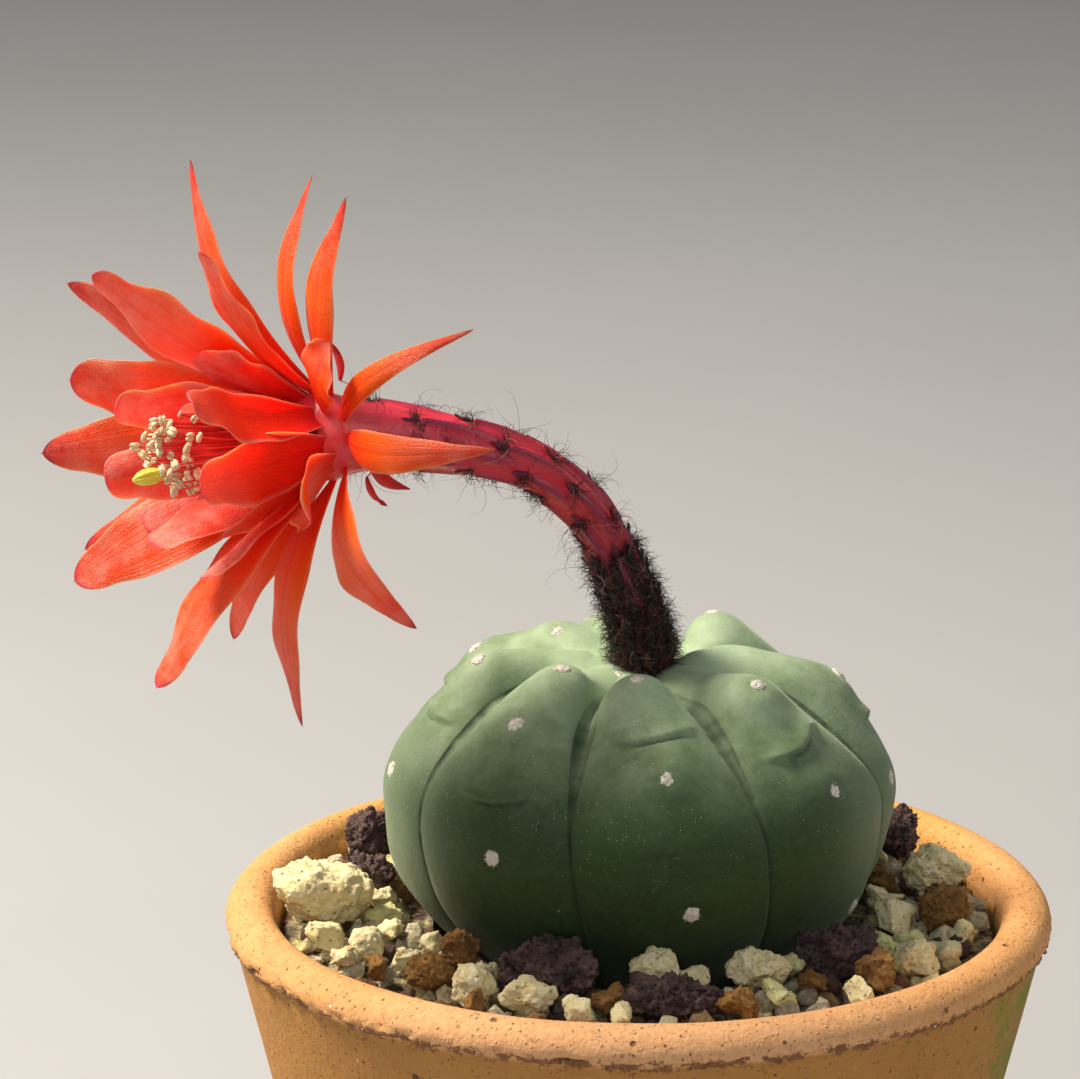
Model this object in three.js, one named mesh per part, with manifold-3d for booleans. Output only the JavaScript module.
// A round, spineless cactus in flower, growing in a terracotta pot dressed with gravel.
// Millimetres, +Z up. Everything is laid out from the pot's axis, and the last lines move the
// whole so that the origin is the middle of its footprint box, on the surface it stands on.
import * as THREE from "three";
import { mergeVertices } from "three/addons/utils/BufferGeometryUtils.js";
import Module from "manifold-3d";

const wasm = await Module();
wasm.setup();

// ---- Driving dimensions ----------------------------------------------------------------------
const GAP = 0.3; // clearance between pieces that touch

const POT = {
  lipRadius: 52.5, // the sharp outer edge of the lip
  lipHeight: 88,
  crown: 3.5, // how far the rounded lip rises above that edge
  baseRadius: 30.5,
  wall: 6,
  floor: 7,
  overhang: 0.8, // how far the lip stands out over the wall
  drainRadius: 6,
  sides: 48,
};
const SOIL_TOP = 79.5;
const BED_TOP = 87.2; // mean level of the fine gravel
const BODY_MIDDLE = 105; // height of the cactus's widest ring
const RIBS = 8;
const FURROW_START = -24.5; // degrees from the front to the first furrow, at the crown
const RIB_TWIST = 17; // degrees that the ribs turn from crown to root collar
const ROOT_LENGTH = 46;
const PETAL_THICKNESS = 0.6;
const STAMENS = 24;
const GOLDEN_ANGLE = 137.5;

const rad = THREE.MathUtils.degToRad;
const vec = (x, y, z) => new THREE.Vector3(x, y, z);
const mix = THREE.MathUtils.lerp;
const smooth = THREE.MathUtils.smoothstep;

const material = (color, roughness) =>
  new THREE.MeshStandardMaterial({ color, roughness, metalness: 0 });
const terracotta = material(0xd89a5c, 0.9);
const soilBrown = material(0x4a372a, 1);
const gravelBeige = material(0xa89878, 1);
const cactusGreen = material(0x5c7f5a, 0.75);
const rootBrown = material(0x8a6a48, 0.95);
const tubeRed = material(0xb02335, 0.6);
const tepalOrange = material(0xee4a22, 0.55);
const tepalPink = material(0xf0604e, 0.55);
const bractRed = material(0xa81e26, 0.6);
const antherCream = material(0xe6cfa0, 0.8);
const stigmaYellow = material(0xf2e24a, 0.6);
const stoneColours = {
  pumice: material(0xe6dcb4, 1),
  lava: material(0x4e3a3c, 1),
  clay: material(0xa9713c, 1),
};

// ---- Shared builders ---------------------------------------------------------------------------
function meshOf(name, geometry, finish) {
  const mesh = new THREE.Mesh(geometry, finish);
  mesh.name = name;
  return mesh;
}

function signedVolume(points, faces) {
  let volume = 0;
  for (let i = 0; i < faces.length; i += 3) {
    const [a, b, c] = [points[faces[i]], points[faces[i + 1]], points[faces[i + 2]]];
    volume += a.dot(b.clone().cross(c)) / 6;
  }
  return volume;
}

// A closed solid from rings of equally many points. Each end closes on a point of its own.
function loft(rings, startPoint, endPoint) {
  const sides = rings[0].length;
  const points = rings.flat();
  const faces = [];
  for (let r = 0; r + 1 < rings.length; r++)
    for (let i = 0; i < sides; i++) {
      const a = r * sides + i;
      const b = r * sides + ((i + 1) % sides);
      faces.push(a, b, b + sides, a, b + sides, a + sides);
    }
  const last = (rings.length - 1) * sides;
  const start = points.push(startPoint) - 1;
  const end = points.push(endPoint) - 1;
  for (let i = 0; i < sides; i++) {
    const next = (i + 1) % sides;
    faces.push(start, next, i, end, last + i, last + next);
  }
  if (signedVolume(points, faces) < 0) faces.reverse();
  const geometry = new THREE.BufferGeometry().setFromPoints(points);
  geometry.setIndex(faces);
  geometry.computeVertexNormals();
  return geometry;
}

// A profile of [radius, height] pairs turned about the Z axis.
function turned(profile, sides) {
  const points = profile.map(([r, h]) => new THREE.Vector2(r, h));
  return new THREE.LatheGeometry(points, sides).rotateX(Math.PI / 2);
}

function arc(centreR, centreH, radiusR, radiusH, from, to, steps) {
  return Array.from({ length: steps + 1 }, (_, i) => {
    const angle = rad(mix(from, to, i / steps));
    return [centreR + radiusR * Math.cos(angle), centreH + radiusH * Math.sin(angle)];
  });
}

function asSolid(geometry) {
  const bare = geometry.clone();
  bare.deleteAttribute("normal");
  bare.deleteAttribute("uv");
  const merged = mergeVertices(bare, 1e-3);
  return new wasm.Manifold(
    new wasm.Mesh({
      numProp: 3,
      vertProperties: merged.attributes.position.array,
      triVerts: new Uint32Array(merged.index.array),
    }),
  );
}

function asGeometry(solid) {
  const { vertProperties, triVerts, numProp } = solid.getMesh();
  const positions = new Float32Array((vertProperties.length / numProp) * 3);
  for (let i = 0; i < positions.length / 3; i++)
    positions.set(vertProperties.subarray(i * numProp, i * numProp + 3), i * 3);
  const geometry = new THREE.BufferGeometry();
  geometry.setAttribute("position", new THREE.BufferAttribute(positions, 3));
  geometry.setIndex(new THREE.BufferAttribute(triVerts, 1));
  geometry.computeVertexNormals();
  return geometry;
}

// A repeatable number from 0 to 1 for a stone's seed and corner.
function chance(seed, corner) {
  const value = Math.sin(seed * 12.9898 + corner * 78.233) * 43758.5453;
  return value - Math.floor(value);
}

// ---- The pot, its soil and the fine gravel -------------------------------------------------------
const wallAt = (height) =>
  mix(POT.baseRadius, POT.lipRadius - POT.overhang, height / POT.lipHeight);
const insideAt = (height) => wallAt(height) - POT.wall;

function pot() {
  const inner = 3; // the lip's inner rounding
  const lipMiddle = insideAt(POT.lipHeight) + inner;
  const outer = POT.lipRadius - lipMiddle;
  return turned(
    [
      [POT.drainRadius, 0],
      [POT.baseRadius - 1, 0],
      [POT.baseRadius, 1],
      [wallAt(POT.lipHeight - 1.5), POT.lipHeight - 1.5],
      ...arc(lipMiddle, POT.lipHeight, outer, POT.crown, 0, 90, 5),
      ...arc(lipMiddle, POT.lipHeight, inner, POT.crown, 110, 180, 3),
      [insideAt(POT.floor + 3), POT.floor + 3],
      ...arc(insideAt(POT.floor) - 3, POT.floor + 3, 3, 3, -30, -90, 2),
      [POT.drainRadius, POT.floor],
      [POT.drainRadius, 0],
    ],
    POT.sides,
  );
}

// The crest of a rib in section: [radius, height over the widest ring], crown to root collar.
const CREST = new THREE.SplineCurve(
  [
    [0, 14.2],
    [5.5, 14.6],
    [10, 17.2],
    [14.5, 18.7],
    [20, 17.6],
    [24.6, 14.4],
    [28.6, 9.6],
    [31.3, 4.4],
    [32.1, -1],
    [31.2, -7],
    [28.8, -12.5],
    [24.4, -18],
    [17, -23.6],
    [8, -27.6],
    [4, -29],
  ].map(([r, h]) => new THREE.Vector2(r, h)),
);
const BODY_BOTTOM = BODY_MIDDLE + CREST.getPoint(1).y;

// How deep the furrows are cut below the crest, along it from crown (0) to root collar (1).
const furrowDepth = (s) =>
  3.6 * smooth(s, 0.05, 0.22) * (1 - 0.62 * smooth(s, 0.24, 0.5)) * (1 - smooth(s, 0.7, 0.98));

function bodyPoint(s, turn) {
  const crest = CREST.getPoint(s);
  const along = CREST.getTangent(s);
  const angle = FURROW_START + RIB_TWIST * s + turn * 360;
  const across = Math.abs(((turn * RIBS) % 1) * 2 - 1); // 1 in a furrow, 0 on a crest
  const lobe = 1 - Math.sqrt(1 - 0.98 * across * across); // round ribs that meet in a sharp line
  const cut = furrowDepth(s) * lobe;
  const radius = crest.x + along.y * cut;
  const height = crest.y - along.x * cut;
  return vec(
    radius * Math.sin(rad(angle)),
    -radius * Math.cos(rad(angle)),
    BODY_MIDDLE + height,
  );
}

function cactusBody() {
  const rows = 18;
  const columns = RIBS * 7;
  const rings = [];
  for (let r = 1; r <= rows; r++)
    rings.push(Array.from({ length: columns }, (_, c) => bodyPoint(r / rows, c / columns)));
  return loft(rings, vec(0, 0, BODY_MIDDLE + CREST.getPoint(0).y), vec(0, 0, BODY_BOTTOM));
}

// The body's outline below the gravel, held off by the gap, from where the bed meets it downwards.
function socketUnderBody(fromHeight, toHeight, steps) {
  const lower = Array.from({ length: 60 }, (_, i) => CREST.getPoint(0.55 + (0.45 * i) / 59));
  return Array.from({ length: steps + 1 }, (_, i) => {
    const height = mix(fromHeight, toHeight, i / steps);
    const nearest = lower.reduce((a, b) =>
      Math.abs(b.y + BODY_MIDDLE - height) < Math.abs(a.y + BODY_MIDDLE - height) ? b : a,
    );
    return [nearest.x + 3 * GAP, height];
  });
}

const rootRadiusAt = (depth) => mix(3.6, 0.7, Math.sqrt(depth / ROOT_LENGTH));

function pottingSoil() {
  const bottom = POT.floor + GAP;
  const rootHole = Array.from({ length: 7 }, (_, i) => {
    const depth = (ROOT_LENGTH * i) / 6;
    return [rootRadiusAt(depth) + GAP, BODY_BOTTOM - GAP - depth];
  });
  return turned(
    [
      [0, bottom],
      [insideAt(POT.floor) - 3.5, bottom],
      [insideAt(POT.floor + 4) - GAP, POT.floor + 4],
      [insideAt(SOIL_TOP) - GAP, SOIL_TOP],
      ...socketUnderBody(SOIL_TOP, BODY_BOTTOM + 1, 3),
      ...rootHole,
      [0, BODY_BOTTOM - ROOT_LENGTH - 2 * GAP],
    ],
    32,
  );
}

function gravelBed() {
  const sides = 40;
  const outer = insideAt(BED_TOP) - 2 * GAP;
  const profile = [
    [insideAt(SOIL_TOP + GAP) - GAP, SOIL_TOP + GAP],
    [outer, BED_TOP - 1],
    [outer - 4, BED_TOP],
    [mix(outer, 28, 0.55), BED_TOP + 0.4],
    [29, BED_TOP + 0.2],
    ...socketUnderBody(BED_TOP - 0.5, SOIL_TOP + GAP, 3),
  ];
  const geometry = turned([...profile, profile[0]], sides);
  const at = geometry.attributes.position;
  for (let i = 0; i < at.count; i++) {
    const height = at.getZ(i);
    const angle = Math.atan2(at.getY(i), at.getX(i));
    if (height > BED_TOP - 1.2)
      at.setZ(i, height + 0.5 * Math.sin(9 * angle) * Math.cos(0.6 * at.getX(i)));
  }
  return geometry;
}

function taproot() {
  const sides = 10;
  const rings = [];
  for (let i = 0; i <= 7; i++) {
    const depth = (ROOT_LENGTH * i) / 7;
    rings.push(
      Array.from({ length: sides }, (_, k) => {
        const angle = rad((360 * k) / sides);
        const radius = rootRadiusAt(depth) * (1 - 0.08 * chance(i, k));
        return vec(
          radius * Math.cos(angle),
          radius * Math.sin(angle),
          BODY_BOTTOM - GAP - depth,
        );
      }),
    );
  }
  return loft(
    rings,
    vec(0, 0, BODY_BOTTOM - GAP),
    vec(0, 0, BODY_BOTTOM - GAP - ROOT_LENGTH),
  );
}

// ---- The flower's tube ----------------------------------------------------------------------------
const TUBE_LINE = new THREE.CatmullRomCurve3([
  vec(0.8, -1, 119.9),
  vec(0.3, -1.4, 124.5),
  vec(-1, -2, 129.5),
  vec(-3.3, -3.3, 135.6),
  vec(-6.3, -5, 141.6),
  vec(-11, -7, 146.8),
  vec(-17, -9.2, 150.2),
  vec(-24, -11.6, 152.4),
  vec(-31, -14.2, 153.8),
  vec(-37.6, -17, 154.7),
]);
const TUBE_RADII = new THREE.SplineCurve(
  [
    [0, 3],
    [0.06, 3.5],
    [0.2, 3.4],
    [0.34, 2.8],
    [0.6, 2.8],
    [0.8, 3.5],
    [0.93, 4.4],
    [1, 5.8],
  ].map(([t, r]) => new THREE.Vector2(t, r)),
);

// The flower's own axes at the mouth: forward out of it, up, and near for the side it shows.
const mouth = TUBE_LINE.getPoint(1);
const FACING = 30; // degrees that the flower turns towards the front
const forward = vec(-Math.cos(rad(FACING)), -Math.sin(rad(FACING)), -0.07).normalize();
const near = vec(Math.sin(rad(FACING)), -Math.cos(rad(FACING)), 0);
const up = near.clone().cross(forward).normalize();
if (up.z < 0) up.negate();

const sideways = (around) =>
  up
    .clone()
    .multiplyScalar(Math.cos(rad(around)))
    .addScaledVector(near, Math.sin(rad(around)));

// Which way round up, near and forward run, so that a tepal's face looks at the flower's axis.
const HAND = Math.sign(up.clone().cross(near).dot(forward));

const inFlower = (ahead, out, around) =>
  mouth.clone().addScaledVector(forward, ahead).addScaledVector(sideways(around), out);

function flowerTube() {
  const sides = 12;
  const steps = 18;
  const ringAt = (centre, ahead, radius) => {
    const first = up.clone().addScaledVector(ahead, -up.dot(ahead)).normalize();
    const second = ahead.clone().cross(first).normalize();
    return Array.from({ length: sides }, (_, i) => {
      const angle = (2 * Math.PI * i) / sides;
      return centre
        .clone()
        .addScaledVector(first, radius * Math.cos(angle))
        .addScaledVector(second, radius * Math.sin(angle));
    });
  };
  const rings = [];
  for (let i = 0; i <= steps; i++) {
    const t = i / steps;
    const ahead = TUBE_LINE.getTangent(t).lerp(forward, smooth(t, 0.75, 1)).normalize();
    rings.push(ringAt(TUBE_LINE.getPoint(t), ahead, TUBE_RADII.getPoint(t).y));
  }
  const cup = [
    [0, 3.1],
    [-3, 2.9],
    [-7, 2.2],
  ];
  for (const [ahead, radius] of cup)
    rings.push(ringAt(inFlower(ahead, 0, 0), forward, radius));
  return loft(rings, TUBE_LINE.getPoint(0), inFlower(-7.6, 0, 0));
}

// ---- Tepals -----------------------------------------------------------------------------------------
// around: degrees about the flower's axis, 0 up, 90 on the near side, 180 down, 270 on the far side.
// lean: degrees from the axis at the foot and at the tip. widest: where along its length.
// round: 0 for a point, 1 for a blunt end. cup: how much it is dished across.
const WHORLS = {
  outer: { out: 5.35, foot: 1.5, widest: 0.42, round: 0, cup: 0.1, finish: tepalOrange },
  middle: { out: 4.45, foot: 1.8, widest: 0.6, round: 0.45, cup: 0.12, finish: tepalOrange },
  inner: { out: 3.6, foot: 1.5, widest: 0.64, round: 0.7, cup: 0.14, finish: tepalPink },
  bract: { out: 6.1, foot: 0.8, widest: 0.35, round: 0, cup: 0.1, finish: bractRed },
};

const TEPALS = [
  { whorl: "outer", around: 355, length: 28, width: 4.8, lean: [62, 122] },
  { whorl: "outer", around: 15, length: 27, width: 6.6, lean: [70, 110] },
  { whorl: "outer", around: 54, length: 26, width: 4, lean: [72, 150] },
  { whorl: "outer", around: 84, length: 28, width: 5.4, lean: [66, 140] },
  { whorl: "outer", around: 130, length: 26, width: 8, lean: [50, 118] },
  { whorl: "outer", around: 172, length: 32, width: 7.4, lean: [44, 98] },
  { whorl: "outer", around: 203, length: 26, width: 7, lean: [50, 84], round: 0.4 },
  { whorl: "outer", around: 238, length: 33, width: 7.4, lean: [42, 54], round: 0.4 },
  { whorl: "outer", around: 263, length: 34, width: 7.6, lean: [34, 48], round: 0.6 },
  { whorl: "outer", around: 284, length: 28, width: 6, lean: [66, 92] },
  { whorl: "outer", around: 301, length: 34, width: 8, lean: [48, 60], round: 0.3 },
  { whorl: "outer", around: 334, length: 33.5, width: 6.6, lean: [48, 100] },
  { whorl: "middle", around: 32, length: 12, width: 7.2, lean: [60, 104], start: 2 },
  { whorl: "middle", around: 116, length: 14, width: 7.8, lean: [16, 76], start: 1, round: 0.8 },
  { whorl: "middle", around: 188, length: 34, width: 7.6, lean: [28, 60] },
  { whorl: "middle", around: 227, length: 34, width: 8, lean: [30, 46] },
  { whorl: "middle", around: 257, length: 24, width: 6, lean: [22, 34] },
  { whorl: "middle", around: 286, length: 30, width: 7.2, lean: [30, 48], round: 0.8 },
  { whorl: "middle", around: 317, length: 31, width: 7.8, lean: [36, 58] },
  { whorl: "middle", around: 346, length: 24, width: 6.2, lean: [38, 76] },
  { whorl: "inner", around: 2, length: 19, width: 5, lean: [4, 12] },
  { whorl: "inner", around: 42, length: 24, width: 6.8, lean: [8, 38] },
  { whorl: "inner", around: 94, length: 21, width: 7.4, lean: [8, 12] },
  { whorl: "inner", around: 138, length: 19, width: 5, lean: [15, 23] },
  { whorl: "inner", around: 168, length: 22, width: 5, lean: [24, 30] },
  { whorl: "inner", around: 198, length: 24, width: 6.2, lean: [12, 18] },
  { whorl: "inner", around: 226, length: 23, width: 5.8, lean: [24, 28] },
  { whorl: "inner", around: 254, length: 26, width: 7.2, lean: [12, 18] },
  { whorl: "inner", around: 291, length: 24, width: 6.8, lean: [20, 26] },
  { whorl: "inner", around: 322, length: 16, width: 7, lean: [28, 44] },
  { whorl: "bract", around: 125, length: 6, width: 2.2, lean: [100, 150], start: -2.4 },
  { whorl: "bract", around: 152, length: 4.6, width: 1.6, lean: [80, 140], start: -3 },
  { whorl: "bract", around: 350, length: 6, width: 2, lean: [100, 60], start: -2.4 },
];

function bladeWidth(t, foot, width, widest, round) {
  if (t < widest) return mix(foot, width, Math.sin((Math.PI / 2) * (t / widest)));
  const x = (t - widest) / (1 - widest);
  return width * mix(1 - Math.pow(x, 1.5), Math.sqrt(1 - Math.pow(x, 2.4)), round);
}

// A blade's section: how far across, from -1 to 1, and on which face.
const SECTION = [
  [-1, 0],
  [-0.5, 1],
  [0.5, 1],
  [1, 0],
  [0.5, -1],
  [-0.5, -1],
];

function tepal({ whorl, around, length, width, lean, start = GAP, ...own }) {
  const kind = WHORLS[whorl];
  const round = own.round ?? kind.round;
  const stations = 8;
  const finest = 6; // short steps between stations, so that the midrib curves evenly
  const step = length / (stations * finest);
  const foot = inFlower(start, kind.out, around);
  const outward = sideways(around);
  const across = sideways(around + 90);
  const point = foot.clone();
  const rings = [];
  for (let i = 0; i < stations * finest; i++) {
    const t = i / (stations * finest);
    const tilt = rad(mix(lean[0], lean[1], smooth(t, 0, 0.9)));
    const ahead = forward
      .clone()
      .multiplyScalar(Math.cos(tilt))
      .addScaledVector(outward, Math.sin(tilt));
    if (i % finest === 0) {
      const face = across.clone().cross(ahead).multiplyScalar(HAND);
      const wide = bladeWidth(t, kind.foot, width, kind.widest, round);
      const thick = PETAL_THICKNESS * (1 - 0.4 * t);
      rings.push(
        SECTION.map(([u, side]) =>
          point
            .clone()
            .addScaledVector(across, (u * wide) / 2)
            .addScaledVector(face, kind.cup * wide * u * u + (side * thick) / 2),
        ),
      );
    }
    point.addScaledVector(ahead, step);
  }
  return loft(rings, foot, point);
}

// ---- Stamens and style ---------------------------------------------------------------------
// A rod along a curve, with a radius for each share of its length.
function rod(curve, radii, sides) {
  const rings = radii.map(([t, radius]) => {
    const centre = curve.getPoint(t);
    const ahead = curve.getTangent(t);
    const first = up.clone().addScaledVector(ahead, -up.dot(ahead)).normalize();
    const second = ahead.clone().cross(first).normalize();
    return Array.from({ length: sides }, (_, i) => {
      const angle = (2 * Math.PI * i) / sides;
      return centre
        .clone()
        .addScaledVector(first, radius * Math.cos(angle))
        .addScaledVector(second, radius * Math.sin(angle));
    });
  });
  return loft(rings, curve.getPoint(radii[0][0]), curve.getPoint(1));
}

function stamenLine(index) {
  const around = index * GOLDEN_ANGLE;
  const spread = Math.sqrt((index + 0.5) / STAMENS);
  const ahead = 24 - 6 * spread * chance(index, 1);
  const head = inFlower(ahead, 1.6 + 3 * spread, around).addScaledVector(up, 1.2);
  return new THREE.QuadraticBezierCurve3(
    inFlower(-5.4, 1.75, around),
    inFlower(11, 2.2, around),
    head,
  );
}

// A plain cylinder on the flower's axis, between two places ahead of the mouth.
function band(from, to, radius) {
  const line = new THREE.LineCurve3(inFlower(from, 0, 0), inFlower(to, 0, 0));
  const radii = [
    [0, radius],
    [0.999, radius],
  ];
  return asSolid(rod(line, radii, 16));
}

// The filaments grow from one ring, deep in the tube round the style, so they make one solid.
function stamens() {
  const ring = { back: -6.2, front: -5, outer: 2, inner: 1.2 };
  const hole = band(ring.back - 0.4, ring.front + 1, ring.inner);
  let solid = band(ring.back, ring.front, ring.outer).subtract(hole);
  const radii = [
    [0, 0.22],
    [0.5, 0.2],
    [0.94, 0.18],
    [0.95, 0.42], // the anther
    [0.985, 0.42],
  ];
  for (let i = 0; i < STAMENS; i++)
    solid = solid.add(asSolid(rod(stamenLine(i), radii, 4)));
  return asGeometry(solid);
}

function styleAndStigma() {
  const line = new THREE.LineCurve3(inFlower(-7.2, 0, 0), inFlower(27, 0.6, 180));
  return rod(
    line,
    [
      [0, 0.5],
      [0.5, 0.5],
      [0.88, 0.55],
      [0.92, 0.9],
      [0.96, 1],
      [0.99, 0.6],
    ],
    8,
  );
}

// ---- The larger stones -------------------------------------------------------------------------------
// at: degrees round the pot from the front, distance from its axis, and height of the middle.
// size: from side to side, from front to back, and high.
const STONES = [
  { kind: "pumice", at: [-82, 40, 92.8], size: [13, 9.5, 8.2] },
  { kind: "lava", at: [-117, 38.5, 92], size: [6.8, 7, 7] },
  { kind: "lava", at: [-98, 35, 91.3], size: [7.6, 6.5, 5.4] },
  { kind: "pumice", at: [-62, 38.5, 90.2], size: [4.8, 5, 4.6] },
  { kind: "clay", at: [-43, 38, 90.1], size: [5.8, 5.4, 4.6] },
  { kind: "clay", at: [-46, 31, 91], size: [4.8, 4.6, 4.8] },
  { kind: "lava", at: [-21, 32.2, 91.6], size: [12.4, 6.6, 7] },
  { kind: "pumice", at: [-32, 38.5, 90], size: [6.4, 5, 5.8] },
  { kind: "pumice", at: [-21.5, 38, 90], size: [7, 4.6, 4.2] },
  { kind: "pumice", at: [2, 31.2, 91.8], size: [6.2, 5, 5] },
  { kind: "lava", at: [6, 37, 90.2], size: [12.2, 7, 5.8] },
  { kind: "pumice", at: [25, 32, 91.2], size: [8, 5, 4.6] },
  { kind: "lava", at: [45, 34, 91.4], size: [10.6, 7, 6.6] },
  { kind: "pumice", at: [55.5, 40.5, 90.4], size: [6, 5.2, 4.8] },
  { kind: "clay", at: [80, 39, 91], size: [6.6, 5.6, 5.4] },
  { kind: "pumice", at: [97, 38.5, 92], size: [8.2, 6.6, 7] },
  { kind: "lava", at: [122, 40, 91.6], size: [6.8, 7, 6.6] },
];

function stone({ size }, seed) {
  const ball = new THREE.IcosahedronGeometry(1, 1);
  ball.deleteAttribute("normal");
  ball.deleteAttribute("uv");
  const geometry = mergeVertices(ball, 1e-3);
  const at = geometry.attributes.position;
  for (let i = 0; i < at.count; i++) {
    const reach = 0.88 + 0.24 * chance(seed + 1, i); // uneven corners
    at.setXYZ(
      i,
      (at.getX(i) * reach * size[0]) / 2,
      (at.getY(i) * reach * size[1]) / 2,
      (at.getZ(i) * reach * size[2]) / 2,
    );
  }
  return geometry;
}

// ---- Assembly -------------------------------------------------------------------------------------------
const whole = new THREE.Group();
whole.add(meshOf("pot", pot(), terracotta));
whole.add(meshOf("potting_soil", pottingSoil(), soilBrown));
whole.add(meshOf("gravel_bed", gravelBed(), gravelBeige));
whole.add(meshOf("taproot", taproot(), rootBrown));
whole.add(meshOf("cactus_body", cactusBody(), cactusGreen));

const flower = new THREE.Group();
flower.add(meshOf("flower_tube", flowerTube(), tubeRed));
const counts = {};
for (const spec of TEPALS) {
  counts[spec.whorl] = (counts[spec.whorl] ?? 0) + 1;
  const kind = spec.whorl === "bract" ? "bract" : `${spec.whorl}_tepal`;
  const name = `${kind}_${counts[spec.whorl]}`;
  flower.add(meshOf(name, tepal(spec), WHORLS[spec.whorl].finish));
}
flower.add(meshOf("stamens", stamens(), antherCream));
flower.add(meshOf("style_and_stigma", styleAndStigma(), stigmaYellow));
whole.add(flower);

STONES.forEach((spec, i) => {
  const [around, out, height] = spec.at;
  const mesh = meshOf(`${spec.kind}_stone_${i + 1}`, stone(spec, i), stoneColours[spec.kind]);
  mesh.position.set(out * Math.sin(rad(around)), -out * Math.cos(rad(around)), height);
  whole.add(mesh);
});

const footprint = new THREE.Box3().setFromObject(whole);
const middle = footprint.getCenter(vec(0, 0, 0));
whole.position.set(-middle.x, -middle.y, 0);

export default whole;
